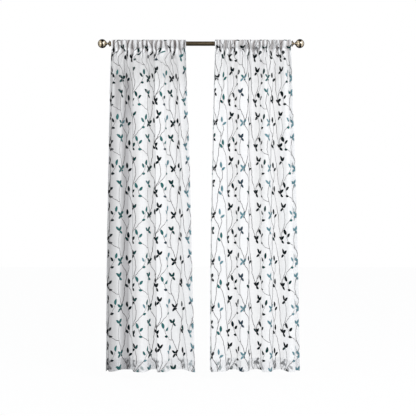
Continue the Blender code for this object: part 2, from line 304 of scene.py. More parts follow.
class Cloth:
    """One panel as a grid of points over its flat cut: w across, v down from the top fold."""

    def __init__(self, side):
        self.side = side
        step = 0.0034
        mid = np.linspace(0.0, PANEL_WIDTH, int(PANEL_WIDTH / step) + 1)[1:-1]
        bend = np.array([0.0, 0.0004, 0.0009, 0.0016, 0.0030])
        turned = np.linspace(0.006, SIDE_HEM, 7)
        left = np.concatenate([-turned[::-1], -bend[:0:-1]])
        self.w = np.concatenate([left, bend, mid[mid > 0.0045]])
        keep = self.w < PANEL_WIDTH - 0.0045
        self.w = np.concatenate([self.w[keep], PANEL_WIDTH - bend[::-1], PANEL_WIDTH + bend[1:], PANEL_WIDTH + turned])
        a = np.linspace(-POCKET_RUN, POCKET_RUN, 45)
        b = POCKET_RUN + np.concatenate([np.arange(0.003, 0.06, 0.003), np.arange(0.06, 0.36, 0.007)])
        c = np.arange(b[-1] + 0.010, LENGTH - BOTTOM_HEM - 0.004, 0.0115)
        e = np.arange(LENGTH - BOTTOM_HEM - 0.003, LENGTH - 0.004, 0.005)
        fold = LENGTH + np.array([-0.0030, -0.0016, -0.0008, -0.0003, 0.0, 0.0003, 0.0008, 0.0016, 0.0030])
        f = np.arange(LENGTH + 0.006, LENGTH + BOTTOM_HEM + 0.001, 0.005)
        self.v = np.concatenate([a, b, c, e, fold, f])
        self.build()

    def build(self):
        w, v = self.w, self.v
        u = np.where(w < 0, -w, np.where(w > PANEL_WIDTH, 2 * PANEL_WIDTH - w, w))
        over = np.where(w < 0, -w, np.where(w > PANEL_WIDTH, w - PANEL_WIDTH, 0.0))
        rows, shades, closes = [], [], []
        stitch = section(self.side, STITCH_Z)
        lean = uneven({"left": 31, "right": 37}[self.side], u, [(3, 0.18), (8, 0.14), (13, 0.08)])    # the puckers lean
        for value in v:
            if abs(value) <= POCKET_RUN:
                z = float(np.interp(abs(value), RUN, RUN_Z))
                out = float(np.interp(abs(value), RUN, RUN_OUT)) * (1 if value >= 0 else -1)
                flat, x, y, _ = stitch
                level = z
            else:
                down = value if value <= LENGTH else 2 * LENGTH - value
                level = STITCH_Z - (down - POCKET_RUN)
                out = 0.0
                flat, x, y, _ = section(self.side, level)
            px, py = np.interp(u, flat, x), np.interp(u + lean * max(level - STITCH_Z, 0), flat, y)
            behind = (py - y.min()) / (y.max() - y.min())
            shade, close = hollow(self.side, u, behind, level, value >= 0)
            # The turned-up layer keeps only about a third of its painted shade and of its closeness.
            if value > LENGTH:                       # the turned-up layer only adds to the one in front
                shade, close = 0.35 * shade + 0.65, 0.35 * close
            shades.append(shade)
            closes.append(close)
            crown = 0.17 * py * np.clip((level - STITCH_Z) / (TOP_Z - STITCH_Z), 0, 1) ** 2     # evens out the top edge
            rows.append(np.stack([px, py - out, level + crown], axis=1))
        g = np.array(rows)
        # The gathered head isn't straight: its puckers lean and crowd, and that dies out below the pocket.
        head = ease((g[:, :, 2] + 0.125) / 0.085) * ease(np.minimum(u, PANEL_WIDTH - u)[None, :] / 0.07)
        turn = {"left": 0.4, "right": 2.1}[self.side]
        g[:, :, 0] += head * (0.0042 * np.sin(2 * pi * g[:, :, 0] / 0.093 + 46 * g[:, :, 2] + turn)
                              + 0.0026 * np.sin(2 * pi * g[:, :, 0] / 0.052 - 64 * g[:, :, 2] + 3 * turn))
        g[:, :, 1] += creases(self.side, u[None, :], g[:, :, 2]) * np.where(v >= POCKET_RUN, 1.0, 0.0)[:, None]
        # Outward normals, from the sheet's own directions; across is taken along u, up against v.
        order = np.argsort(u, kind="stable")
        across = np.empty_like(g)
        mono = np.concatenate([[True], np.diff(u[order]) > 1e-7])
        base = g[:, order][:, mono]
        slope = np.gradient(base, u[order][mono], axis=1)
        for k in range(3):
            for r in range(len(v)):
                across[r, :, k] = np.interp(u, u[order][mono], slope[r, :, k])
        up = -np.gradient(g, v, axis=0)
        bottom = v > LENGTH - 0.004
        up[bottom] = np.where((v[bottom] <= LENGTH)[:, None, None], [0, 0, 1.0], [0, 0, -1.0])
        n = np.cross(across, up)
        n /= np.linalg.norm(n, axis=2, keepdims=True)
        # The side hems lie behind the face, the bottom hem behind both.
        behind = 0.0007 * np.clip(over / 0.0016, 0, 1) ** 0.5
        g = g - n * behind[None, :, None]
        past = np.clip(v - LENGTH, 0, None)
        gap = 0.0016 * np.clip(past / 0.0030, 0, 1) ** 0.5
        g = g + n * gap[:, None, None]
        g[:, :, 2] += np.where(past > 0, 0.0, 0.0)[:, None]
        self.p, self.n, self.shade, self.close = g, n, np.array(shades), np.array(closes)

    def at(self, w, v, h):
        """Points in space for flat places (w, v) and heights h off the face."""
        w, v = np.clip(w, self.w[0], self.w[-1]), np.clip(v, self.v[0], self.v[-1])
        j = np.clip(np.searchsorted(self.w, w, side="right") - 1, 0, len(self.w) - 2)
        i = np.clip(np.searchsorted(self.v, v, side="right") - 1, 0, len(self.v) - 2)
        s = ((w - self.w[j]) / (self.w[j + 1] - self.w[j]))[..., None]
        t = ((v - self.v[i]) / (self.v[i + 1] - self.v[i]))[..., None]
        out = []
        for grid in (self.p, self.n):
            out.append((grid[i, j] * (1 - s) + grid[i, j + 1] * s) * (1 - t) + (grid[i + 1, j] * (1 - s) + grid[i + 1, j + 1] * s) * t)
        n = out[1] / np.maximum(np.linalg.norm(out[1], axis=-1, keepdims=True), 1e-9)
        return out[0] + n * np.asarray(h)[..., None]


# ------------------------------------------------------------------ the embroidered vine, one repeat in millimetres
REPEAT = 0.300
# Each leaf: its name in the tone table, where its foot is (x right, y up), the way it points in degrees, length, width.
#    name        x     y    turn  long wide
LEAVES = [
    ("bird 1", -1, 3, 112, 32, 13), ("bird 2", 0, 2, 49, 30, 13), ("bird 3", 1, 2, 217, 27, 12),
    ("fern 1", 93, -23, 75, 33, 15), ("fern 2", 76, -41, 127, 29, 13), ("fern 3", 57, -78, 4, 25, 11.5),
    ("kite", 143, -44, 137, 27, 12), ("kite", 144, -45, 225, 27, 12), ("kite", 143, -45, 46, 29, 13), ("kite", 145, -47, 322, 15, 8),
    ("ear 1", 196, -42, 96, 33, 14), ("ear 2", 200, -58, 34, 29, 13),
    ("dove 1", 27, -171, 115, 34, 16), ("dove 2", 38, -186, 41, 29, 13), ("dove 3", 31, -221, 356, 26, 11.5),
    ("star", 129, -145, 137, 32, 13), ("star", 128, -146, 62, 29, 13), ("star", 130, -145, 316, 25, 11),
    ("pair 1", 206, -193, 94, 33, 15), ("pair 2", 200, -212, 134, 28, 13),
    ("fork", 277, -205, 136, 27, 12), ("fork", 276, -206, 49, 29, 13), ("fork", 276, -205, 310, 26, 12), ("fork", 276, -200, 92, 17, 8),
]
# Each stem: the points it passes, root first, and its width at the two ends.
STEMS = [
    ([(146, -362), (160, -318), (174, -262), (178, -206), (190, -146), (186, -110), (163, -78), (147, -49)], 2.3, 2.1),
    ([(190, -138), (204, -106), (206, -76), (200, -55)], 2.1, 1.7),
    ([(154, -330), (141, -290), (121, -243), (119, -193), (131, -148)], 2.2, 1.8),
    ([(128, -256), (108, -254), (78, -237), (56, -225)], 2.0, 1.6),
    ([(54, -225), (40, -207), (34, -189), (28, -171)], 1.6, 1.4),
    ([(34, -189), (40, -186)], 1.4, 1.3),
    ([(277, -506), (262, -466), (246, -424), (243, -368), (233, -304), (221, -246), (203, -207)], 2.3, 1.7),
    ([(203, -207), (208, -192)], 1.6, 1.4),
    ([(-24, -206), (-22, -178), (-17, -156), (2, -122), (14, -84), (12, -44), (2, -2)], 2.3, 1.8),
    ([(-19, -162), (6, -136), (34, -104), (60, -79)], 2.0, 1.7),
    ([(60, -78), (70, -63), (80, -45)], 1.5, 1.3), ([(76, -53), (84, -39), (88, -24)], 1.4, 1.3),
]
# Where the chart starts: the flat place of one bird spray's foot on each panel.
CHART_AT = {"left": (0.350, POCKET_RUN + STITCH_Z + 1.062), "right": (0.222, POCKET_RUN + STITCH_Z + 1.062)}
TONES = ["ink", "pine", "teal", "mist", "slate"]
# Thread tone of each spray by column of the repeat, left to right: the thread is dyed in a slow run of tones.
TONE_BY_COLUMN = {
    "left": {
        "bird 1": "ink ink ink ink mist", "bird 2": "ink ink pine ink mist", "bird 3": "ink ink ink ink slate",
        "fern 1": "teal teal teal mist mist", "fern 2": "ink ink teal mist mist", "fern 3": "ink ink teal teal mist",
        "kite": "teal teal pine ink mist", "ear 1": "ink ink ink ink mist", "ear 2": "ink ink ink ink mist",
        "dove 1": "ink ink teal teal mist", "dove 2": "ink ink teal teal mist", "dove 3": "ink ink teal slate mist",
        "star": "teal teal teal pine mist", "pair 1": "ink ink ink ink mist", "pair 2": "ink ink ink ink mist",
        "fork": "ink ink ink mist mist",
    },
    "right": {
        "bird 1": "ink ink ink ink ink", "bird 2": "ink ink ink ink ink", "bird 3": "ink ink ink ink ink",
        "fern 1": "teal teal ink pine mist", "fern 2": "ink teal ink ink mist", "fern 3": "ink teal ink ink teal",
        "kite": "ink ink mist mist mist", "ear 1": "mist mist ink ink mist", "ear 2": "mist mist ink ink mist",
        "dove 1": "ink ink ink ink ink", "dove 2": "ink ink ink ink ink", "dove 3": "ink ink ink ink ink",
        "star": "ink ink slate mist mist", "pair 1": "mist teal pine ink slate", "pair 2": "mist teal pine ink slate",
        "fork": "ink ink ink ink ink",
    },
}


def leaf_shape():
    """A leaf's points: along, across (share of half its width) and height of the stitched relief; and its faces."""
    stations = 9
    points, faces, rows = [], [], []
    for i in range(1, stations - 1):
        t = i / (stations - 1)
        half = sin(pi * t ** 0.88) ** 0.66
        full = min(1.0, 1.6 * sin(pi * t) ** 0.6)
        front = [(t, s * half, h * full) for s, h in ((-1, 0.35), (-0.55, 1.0), (0, 0.66), (0.55, 1.0), (1, 0.35))]
        back = [(t, s * half, -0.9 * full) for s in (0.72, 0, -0.72)]
        rows.append(list(range(len(points), len(points) + 8)))
        points += front + back
    tip0, tip1 = len(points), len(points) + 1
    points += [(0, 0, 0), (1, 0, 0)]
    for a, b in zip(rows, rows[1:]):
        faces += [(a[k], b[k], b[(k + 1) % 8], a[(k + 1) % 8]) for k in range(8)]
    faces += [(tip0, rows[0][k], rows[0][(k + 1) % 8]) for k in range(8)]
    faces += [(rows[-1][k], tip1, rows[-1][(k + 1) % 8]) for k in range(8)]
    return np.array(points), faces


def smooth_line(points, step):
    """Points every step along a smooth curve through the given ones."""
    p = np.array(points, float)
    p = np.vstack([2 * p[0] - p[1], p, 2 * p[-1] - p[-2]])
    out = []
    for k in range(1, len(p) - 2):
        n = max(2, int(np.linalg.norm(p[k + 1] - p[k]) / step))
        for t in np.arange(n) / n:
            out.append(0.5 * ((2 * p[k]) + (p[k + 1] - p[k - 1]) * t + (2 * p[k - 1] - 5 * p[k] + 4 * p[k + 1] - p[k + 2]) * t * t
                              + (3 * p[k] - p[k - 1] - 3 * p[k + 1] + p[k + 2]) * t ** 3))
    out.append(p[-2])
    return np.array(out)


def chart_places(side):
    """Column, row and flat offset of each repeat that reaches the cloth."""
    x0, y0 = CHART_AT[side]
    first = int(np.floor((-SIDE_HEM - x0) / REPEAT)) - 1
    last = int(np.ceil((PANEL_WIDTH + SIDE_HEM - x0) / REPEAT)) + 1
    top = int(np.floor((-POCKET_RUN - y0) / REPEAT)) - 1
    low = int(np.ceil((LENGTH + BOTTOM_HEM - y0) / REPEAT)) + 1
    return [(i, j, x0 + i * REPEAT, y0 + j * REPEAT) for i in range(first, last + 1) for j in range(top, low + 1)]


def settle(side, x, y):
    """Where a point of the chart lies on the cloth: the gathered head takes up a little length, and leans on the left."""
    down = 0.024 * (1 - np.clip((y - POCKET_RUN - 0.03) / 0.62, 0, 1))
    slide = {"left": -0.030, "right": 0.0}[side] * (1 - ease((y - POCKET_RUN + 0.01) / 0.15))
    return x + slide, y + down


# ------------------------------------------------------------------ meshes
def mesh_object(name, points, faces, uv=None, material_index=None, smooth=True):
    mesh = bpy.data.meshes.new(name)
    mesh.from_pydata([tuple(p) for p in points], [], faces)
    mesh.validate()
    if uv is not None:
        layer = mesh.uv_layers.new(name="Flat")
        index = np.zeros(len(mesh.loops), dtype=np.int32)
        mesh.loops.foreach_get("vertex_index", index)
        layer.data.foreach_set("uv", np.asarray(uv, dtype=np.float32)[index].ravel())
    if material_index is not None:
        mesh.polygons.foreach_set("material_index", np.asarray(material_index, dtype=np.int32))
    if smooth:
        mesh.shade_smooth()
    obj = bpy.data.objects.new(name, mesh)
    bpy.context.scene.collection.objects.link(obj)
    return obj


def voile_sheet(cloth):
    nv, nw = cloth.p.shape[:2]
    index = np.arange(nv * nw).reshape(nv, nw)
    a, b, c, d = index[:-1, :-1], index[:-1, 1:], index[1:, 1:], index[1:, :-1]
    faces = np.stack([a, d, c, b], axis=2).reshape(-1, 4).tolist()
    w, v = np.meshgrid(cloth.w, cloth.v)
    uv = np.stack([w.ravel(), -v.ravel()], axis=1)
    obj = mesh_object("voile_" + cloth.side, cloth.p.reshape(-1, 3), faces, uv)
    # Shade carries the painted shade and painted highlight, Close the cloth's closeness.
    for name, value in (("Shade", cloth.shade), ("Close", np.repeat(cloth.close[..., None], 3, axis=2))):
        layer = obj.data.color_attributes.new(name, "FLOAT_COLOR", "POINT")
        rgba = np.ones((nv * nw, 4), dtype=np.float32)
        rgba[:, :3] = value.reshape(-1, 3)
        layer.data.foreach_set("color", rgba.ravel())
    return obj


def leaves(cloth):
    shape, shape_faces = leaf_shape()
    shape_faces = [np.array(f) for f in shape_faces]
    rng = np.random.default_rng({"left": 5, "right": 8}[cloth.side])
    points, faces, uv, slots = [], [], [], []
    count = 0
    for i, j, x0, y0 in chart_places(cloth.side):
        for name, x, y, turn, long, wide in LEAVES:
            x, y = x + rng.normal(0, 0.7), y + rng.normal(0, 0.7)
            turn = radians(turn + rng.normal(0, 3.0))
            long, wide = 0.00121 * long * rng.uniform(0.95, 1.06), 0.00137 * wide * rng.uniform(0.93, 1.08)
            bend = rng.normal(0, 0.05)
            tone = TONE_BY_COLUMN[cloth.side][name].split()[min(max(i + 2, 0), 4)]
            if rng.uniform() < 0.06:
                tone = TONES[min(TONES.index(tone) + 1, 3)] if tone != "slate" else "pine"
            wide = wide * 0.88 if tone == "mist" else wide
            fx, fy = settle(cloth.side, x0 + x * 0.001, y0 - y * 0.001)
            if fy < POCKET_RUN + 0.36 and rng.uniform() < 0.6:
                tone = {"mist": "teal", "teal": "pine"}.get(tone, tone)
            # Over the rod the thread is given a darker tone as painted shade.
            if fy < POCKET_RUN + 0.014 and tone != "ink":        # over the rod the thread looks darker
                tone = "pine" if tone in ("teal", "mist") else "ink"
            cx, cy = fx + cos(turn) * long / 2, fy - sin(turn) * long / 2
            if not (cloth.w[0] + 0.004 < cx < cloth.w[-1] - 0.004 and cloth.v[0] + 0.005 < cy < cloth.v[-1] - 0.004):
                continue
            # On a steep fold or pucker a leaf is seen narrower, so it's sewn a little broader.
            ends = cloth.at(np.array([cx - 0.004, cx + 0.004]), np.array([cy, cy]), np.zeros(2))
            turned = max(float(ends[1, 0] - ends[0, 0]) / 0.008, 0.1)
            head = min(max((POCKET_RUN + 0.07 - fy) / 0.06, 0), 1)
            broad = min(max((0.62 / turned) ** 0.8, 0.84 + 0.26 * head), 1.36 + 0.34 * head)
            along = shape[:, 0] * long
            off = shape[:, 1] * wide / 2 + bend * long * 4 * shape[:, 0] * (1 - shape[:, 0])
            w = fx + broad * (along * cos(turn) - off * sin(turn))
            v = fy - along * sin(turn) - off * cos(turn)
            points.append(cloth.at(w, v, shape[:, 2] * 0.00075))
            uv.append(np.stack([along + count * 0.013, shape[:, 1] * wide / 2], axis=1))
            faces += [(f + count * len(shape)).tolist() for f in shape_faces]
            slots += [TONES.index(tone)] * len(shape_faces)
            count += 1
            if cy > LENGTH + 0.002:                  # turned up with the hem: its reverse shows through the front layer
                points.append(cloth.at(w, v, -0.0002 - shape[:, 2] * 0.00045))
                uv.append(uv[-1])
                faces += [(f[::-1] + count * len(shape)).tolist() for f in shape_faces]
                slots += [TONES.index(tone)] * len(shape_faces)
                count += 1
    obj = mesh_object("leaves_" + cloth.side, np.concatenate(points), faces, np.concatenate(uv), slots)
    return obj, count


def stems(cloth):
    rng = np.random.default_rng({"left": 41, "right": 47}[cloth.side])
    points, faces, uv = [], [], []
    start = 0
    length = 0.0
    for i, j, x0, y0 in chart_places(cloth.side):
        for path, w0, w1 in STEMS:
            line = smooth_line(path, 6.0) * 0.001
            flat = np.stack(settle(cloth.side, x0 + line[:, 0], y0 - line[:, 1]), axis=1)
            size = np.linspace(w0, w1, len(flat)) * 0.00080
            way = np.gradient(flat, axis=0)
            way /= np.linalg.norm(way, axis=1, keepdims=True)
            run = np.concatenate([[0], np.cumsum(np.linalg.norm(np.diff(flat, axis=0), axis=1))])
            sway = sum(a * np.sin(2 * pi * run / wl + rng.uniform(0, 2 * pi)) for a, wl in ((0.0011, 0.047), (0.0008, 0.029)))
            sway *= np.clip(np.minimum(run, run[-1] - run) / 0.02, 0, 1)
            flat = flat + np.stack([-way[:, 1], way[:, 0]], axis=1) * sway[:, None]
            inside = (flat[:, 0] > cloth.w[0] + 0.002) & (flat[:, 0] < cloth.w[-1] - 0.002) & (flat[:, 1] > cloth.v[0] + 0.002) & (flat[:, 1] < cloth.v[-1] - 0.002)
            runs = np.split(np.arange(len(flat)), np.where(np.diff(inside.astype(int)) != 0)[0] + 1)
            for run in runs:
                if not inside[run[0]] or len(run) < 3:
                    continue
                p = flat[run]
                way = np.gradient(p, axis=0)
                way /= np.linalg.norm(way, axis=1, keepdims=True)
                side = np.stack([-way[:, 1], way[:, 0]], axis=1) * size[run][:, None]
                rise = size[run] * 0.70
                ring = [cloth.at(*(p + side).T, 0.25 * rise), cloth.at(*p.T, rise), cloth.at(*(p - side).T, 0.25 * rise), cloth.at(*p.T, -rise)]
                points.append(np.stack(ring, axis=1).reshape(-1, 3))
                dist = np.concatenate([[0], np.cumsum(np.linalg.norm(np.diff(p, axis=0), axis=1))])
                uv.append(np.stack([np.repeat(dist, 4), np.tile([0, 0.001, 0.002, 0.003], len(p))], axis=1))
                length += float(dist[-1])
                n = len(run)
                for k in range(n - 1):
                    o = start + 4 * k
                    faces += [(o + q, o + (q + 1) % 4, o + 4 + (q + 1) % 4, o + 4 + q) for q in range(4)]
                faces += [(start + 3, start + 2, start + 1, start)]
                e = start + 4 * (n - 1)
                faces += [(e, e + 1, e + 2, e + 3)]
                start += 4 * n
    obj = mesh_object("stems_" + cloth.side, np.concatenate(points), faces, np.concatenate(uv))
    return obj, length


def stitching(cloth):
    """Lock stitches of the pocket, the bottom hem and the side hems, each a short raised thread."""
    rows = []
    pitch = 0.0036
    for v in (POCKET_RUN - 0.0006, LENGTH - BOTTOM_HEM + 0.003):
        w = np.arange(0.003, PANEL_WIDTH - 0.003, pitch)
        rows.append(np.stack([w, np.full(len(w), v), np.ones(len(w)), np.zeros(len(w))], axis=1))
    for w in (SIDE_HEM - 0.002, PANEL_WIDTH - SIDE_HEM + 0.002):
        v = np.arange(POCKET_RUN + 0.004, LENGTH - 0.003, pitch)
        rows.append(np.stack([np.full(len(v), w), v, np.zeros(len(v)), np.ones(len(v))], axis=1))
    rows = np.concatenate(rows)
    shape = np.array([(-0.5, 0, 0.1), (0, 0.5, 0.15), (0, 0, 1.0), (0, -0.5, 0.15), (0, 0, -1.0), (0.5, 0, 0.1)])
    long, wide, rise = 0.0026, 0.0006, 0.00035
    w = rows[:, None, 0] + (shape[None, :, 0] * long) * rows[:, None, 2] + (shape[None, :, 1] * wide) * rows[:, None, 3]
    v = rows[:, None, 1] + (shape[None, :, 0] * long) * rows[:, None, 3] + (shape[None, :, 1] * wide) * rows[:, None, 2]
    h = np.broadcast_to(shape[None, :, 2] * rise, w.shape)
    p = cloth.at(w, v, h).reshape(-1, 3)
    one = [(0, 1, 2), (0, 2, 3), (0, 3, 4), (0, 4, 1), (5, 2, 1), (5, 3, 2), (5, 4, 3), (5, 1, 4)]
    faces = [tuple(6 * k + q for q in f) for k in range(len(rows)) for f in one]
    return mesh_object("stitches_" + cloth.side, p, faces)


def turned(name, profile, steps, closed=False, flip=False):
    points, faces, rings = [], [], []
    for x, r in profile:
        x = -x if flip else x
        if r == 0:
            rings.append([len(points)] * steps)
            points.append((x, 0, 0))
        else:
            rings.append(list(range(len(points), len(points) + steps)))
            points += [(x, r * cos(2 * pi * k / steps), r * sin(2 * pi * k / steps)) for k in range(steps)]
    pairs = list(zip(rings, rings[1:] + ([rings[0]] if closed else [])))
    for a, b in pairs if closed else pairs[: len(rings) - 1]:
        for k in range(steps):
            ring = []
            for q in (a[k], a[(k + 1) % steps], b[(k + 1) % steps], b[k]):
                if q not in ring:
                    ring.append(q)
            faces.append(tuple(ring if flip else ring[::-1]))
    return mesh_object(name, points, faces)


# ------------------------------------------------------------------ materials
def material(name):
    m = bpy.data.materials.new(name)
    m.use_nodes = True
    nt = m.node_tree
    nt.nodes.clear()
    return m, nt, nt.nodes, nt.links


def ramp(nodes, links, source, stops):
    r = nodes.new("ShaderNodeValToRGB")
    r.color_ramp.elements[0].position, r.color_ramp.elements[0].color = stops[0][0], (*stops[0][1], 1)
    r.color_ramp.elements[1].position, r.color_ramp.elements[1].color = stops[-1][0], (*stops[-1][1], 1)
    for at, colour in stops[1:-1]:
        e = r.color_ramp.elements.new(at)
        e.color = (*colour, 1)
    links.new(source, r.inputs[0])
    return r.outputs[0]


def maths(nodes, links, op, a, b):
    m = nodes.new("ShaderNodeMath")
    m.operation = op
    for k, x in enumerate((a, b)):
        if isinstance(x, (int, float)):
            m.inputs[k].default_value = x
        else:
            links.new(x, m.inputs[k])
    return m.outputs[0]


def stretched(nodes, links, source, scale):
    m = nodes.new("ShaderNodeMapping")
    m.inputs["Scale"].default_value = scale
    links.new(source, m.inputs["Vector"])
    return m.outputs[0]


def noise(nodes, links, vector, scale, detail=2.0, rough=0.5):
    n = nodes.new("ShaderNodeTexNoise")
    n.inputs["Scale"].default_value = scale
    n.inputs["Detail"].default_value = detail
    n.inputs["Roughness"].default_value = rough
    links.new(vector, n.inputs["Vector"])
    return n.outputs["Fac"]


def voile_material():
    m, nt, nodes, links = material("sheer_voile")
    uv = nodes.new("ShaderNodeUVMap")
    uv.uv_map = "Flat"
    flat = uv.outputs[0]
    warp = noise(nodes, links, stretched(nodes, links, flat, (900, 14, 1)), 1.0, 2.0)      # thick and thin threads
    weft = noise(nodes, links, stretched(nodes, links, flat, (14, 900, 1)), 1.0, 2.0)
    cloud = noise(nodes, links, stretched(nodes, links, flat, (6, 3, 1)), 1.0, 3.0)
    slub = maths(nodes, links, "ADD", maths(nodes, links, "MULTIPLY", warp, 0.5), maths(nodes, links, "MULTIPLY", weft, 0.5))
    cover = maths(nodes, links, "ADD", maths(nodes, links, "MULTIPLY", slub, 0.34), 0.385)
    cover = maths(nodes, links, "ADD", cover, maths(nodes, links, "MULTIPLY", cloud, 0.06))
    close = nodes.new("ShaderNodeVertexColor")
    close.layer_name = "Close"
    cover = maths(nodes, links, "ADD", cover, maths(nodes, links, "MULTIPLY", close.outputs["Color"], 0.37))
    colour = ramp(nodes, links, slub, [(0.30, (0.865, 0.868, 0.874)), (0.70, (0.93, 0.932, 0.936))])
    # The painted shade and painted highlight of the Shade attribute multiply the cloth's colour.
    shade = nodes.new("ShaderNodeVertexColor")
    shade.layer_name = "Shade"
    times = nodes.new("ShaderNodeMix")
    times.data_type = "RGBA"
    times.blend_type = "MULTIPLY"
    times.inputs["Factor"].default_value = 1.0
    links.new(colour, times.inputs["A"])
    links.new(shade.outputs["Color"], times.inputs["B"])
    colour = times.outputs["Result"]
    bump = nodes.new("ShaderNodeBump")
    bump.inputs["Strength"].default_value = 0.35
    bump.inputs["Distance"].default_value = 0.0003
    links.new(slub, bump.inputs["Height"])
    diffuse = nodes.new("ShaderNodeBsdfDiffuse")
    links.new(colour, diffuse.inputs["Color"])
    links.new(bump.outputs[0], diffuse.inputs["Normal"])
    through = nodes.new("ShaderNodeBsdfTranslucent")
    links.new(colour, through.inputs["Color"])
    cloth = nodes.new("ShaderNodeMixShader")
    cloth.inputs[0].default_value = 0.34
    links.new(diffuse.outputs[0], cloth.inputs[1])
    links.new(through.outputs[0], cloth.inputs[2])
    clear = nodes.new("ShaderNodeBsdfTransparent")
    out = nodes.new("ShaderNodeMixShader")
    links.new(cover, out.inputs[0])
    links.new(clear.outputs[0], out.inputs[1])
    links.new(cloth.outputs[0], out.inputs[2])
    end = nodes.new("ShaderNodeOutputMaterial")
    links.new(out.outputs[0], end.inputs["Surface"])
    return m


def thread_material(name, dark, light, sheen=0.2):
    """Satin stitch: fine threads laid across the leaf, dyed a little unevenly."""
    m, nt, nodes, links = material(name)
    uv = nodes.new("ShaderNodeUVMap")
    uv.uv_map = "Flat"
    lines = nodes.new("ShaderNodeTexWave")
    lines.bands_direction = "X"
    lines.inputs["Scale"].default_value = 260.0
    lines.inputs["Distortion"].default_value = 2.0
    lines.inputs["Detail"].default_value = 1.0
    links.new(uv.outputs[0], lines.inputs["Vector"])
    place = nodes.new("ShaderNodeNewGeometry")
    dye = noise(nodes, links, place.outputs["Position"], 34.0, 2.0)
    tone = maths(nodes, links, "ADD", maths(nodes, links, "MULTIPLY", lines.outputs["Fac"], 0.35), maths(nodes, links, "MULTIPLY", dye, 0.75))
    colour = ramp(nodes, links, tone, [(0.25, dark), (0.80, light)])
    bump = nodes.new("ShaderNodeBump")
    bump.inputs["Strength"].default_value = 0.5
    bump.inputs["Distance"].default_value = 0.0003
    links.new(lines.outputs["Fac"], bump.inputs["Height"])
    p = nodes.new("ShaderNodeBsdfPrincipled")
    links.new(colour, p.inputs["Base Color"])
    p.inputs["Roughness"].default_value = 0.55
    p.inputs["Specular IOR Level"].default_value = 0.04
    p.inputs["Sheen Weight"].default_value = sheen
    p.inputs["Sheen Roughness"].default_value = 0.4
    links.new(bump.outputs[0], p.inputs["Normal"])
    end = nodes.new("ShaderNodeOutputMaterial")
    links.new(p.outputs[0], end.inputs["Surface"])
    return m


def brass_material(name, dark, light, low, high):
    """Toned brass: brown and rubbed lighter in an uneven cloud, with rough between low and high."""
    m, nt, nodes, links = material(name)
    place = nodes.new("ShaderNodeNewGeometry")
    cloud = noise(nodes, links, place.outputs["Position"], 26.0, 4.0, 0.6)
    grain = noise(nodes, links, stretched(nodes, links, place.outputs["Position"], (40, 900, 900)), 1.0, 3.0)
    tone = maths(nodes, links, "ADD", maths(nodes, links, "MULTIPLY", cloud, 0.7), maths(nodes, links, "MULTIPLY", grain, 0.3))
    colour = ramp(nodes, links, tone, [(0.30, dark), (0.75, light)])
    rough = maths(nodes, links, "ADD", maths(nodes, links, "MULTIPLY", tone, high - low), low)
    bump = nodes.new("ShaderNodeBump")
    bump.inputs["Strength"].default_value = 0.10
    bump.inputs["Distance"].default_value = 0.0003
    links.new(grain, bump.inputs["Height"])
    p = nodes.new("ShaderNodeBsdfPrincipled")
    p.inputs["Metallic"].default_value = 1.0
    links.new(colour, p.inputs["Base Color"])
    links.new(rough, p.inputs["Roughness"])
    links.new(bump.outputs[0], p.inputs["Normal"])
    end = nodes.new("ShaderNodeOutputMaterial")
    links.new(p.outputs[0], end.inputs["Surface"])
    return m


# ------------------------------------------------------------------ build the pieces
voile = voile_material()
white_thread = thread_material("white_thread", (0.78, 0.78, 0.80), (0.90, 0.90, 0.91))
stem_thread = thread_material("stem_thread", (0.036, 0.031, 0.033), (0.072, 0.064, 0.068), 0.0)
tones = {
    "ink": thread_material("ink_thread", (0.002, 0.005, 0.006), (0.006, 0.014, 0.017), 0.0),
    "pine": thread_material("pine_thread", (0.004, 0.022, 0.022), (0.012, 0.056, 0.054), 0.0),
    "teal": thread_material("teal_thread", (0.016, 0.085, 0.086), (0.045, 0.165, 0.162), 0.0),
    "mist": thread_material("mist_thread", (0.075, 0.170, 0.205), (0.150, 0.290, 0.330), 0.0),
    "slate": thread_material("slate_thread", (0.016, 0.031, 0.044), (0.044, 0.073, 0.098), 0.0),
}
rod_brass = brass_material("antique_brass_tube", (0.26, 0.205, 0.135), (0.44, 0.36, 0.25), 0.24, 0.42)
finial_brass = brass_material("antique_brass_turned", (0.45, 0.39, 0.31), (0.68, 0.62, 0.52), 0.05, 0.12)

for side in ("left", "right"):
    cloth = Cloth(side)
    sheet = voile_sheet(cloth)
    sheet.data.materials.append(voile)
    leaf, leaf_count = leaves(cloth)
    for t in TONES:
        leaf.data.materials.append(tones[t])
    stem, stem_length = stems(cloth)
    stem.data.materials.append(stem_thread)
    sewn = stitching(cloth)
    sewn.data.materials.append(white_thread)
    print(side, "leaves", leaf_count, "stems m", round(stem_length, 2), "sheet faces", len(sheet.data.polygons), "leaf faces", len(leaf.data.polygons))
    for piece in (sheet, leaf, stem, sewn):
        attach(piece, "root")
    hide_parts("panel_" + side)

r = ROD_D / 2
tube = turned("rod_tube", [(-ROD_HALF, r - 0.001), (-ROD_HALF, r - 0.0003), (-ROD_HALF + 0.0003, r), (-0.3, r), (0, r), (0.3, r), (ROD_HALF - 0.0003, r), (ROD_HALF, r - 0.0003), (ROD_HALF, r - 0.001)], 72, closed=True)
tube.data.materials.append(rod_brass)
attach(tube, "root")
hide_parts("rod")


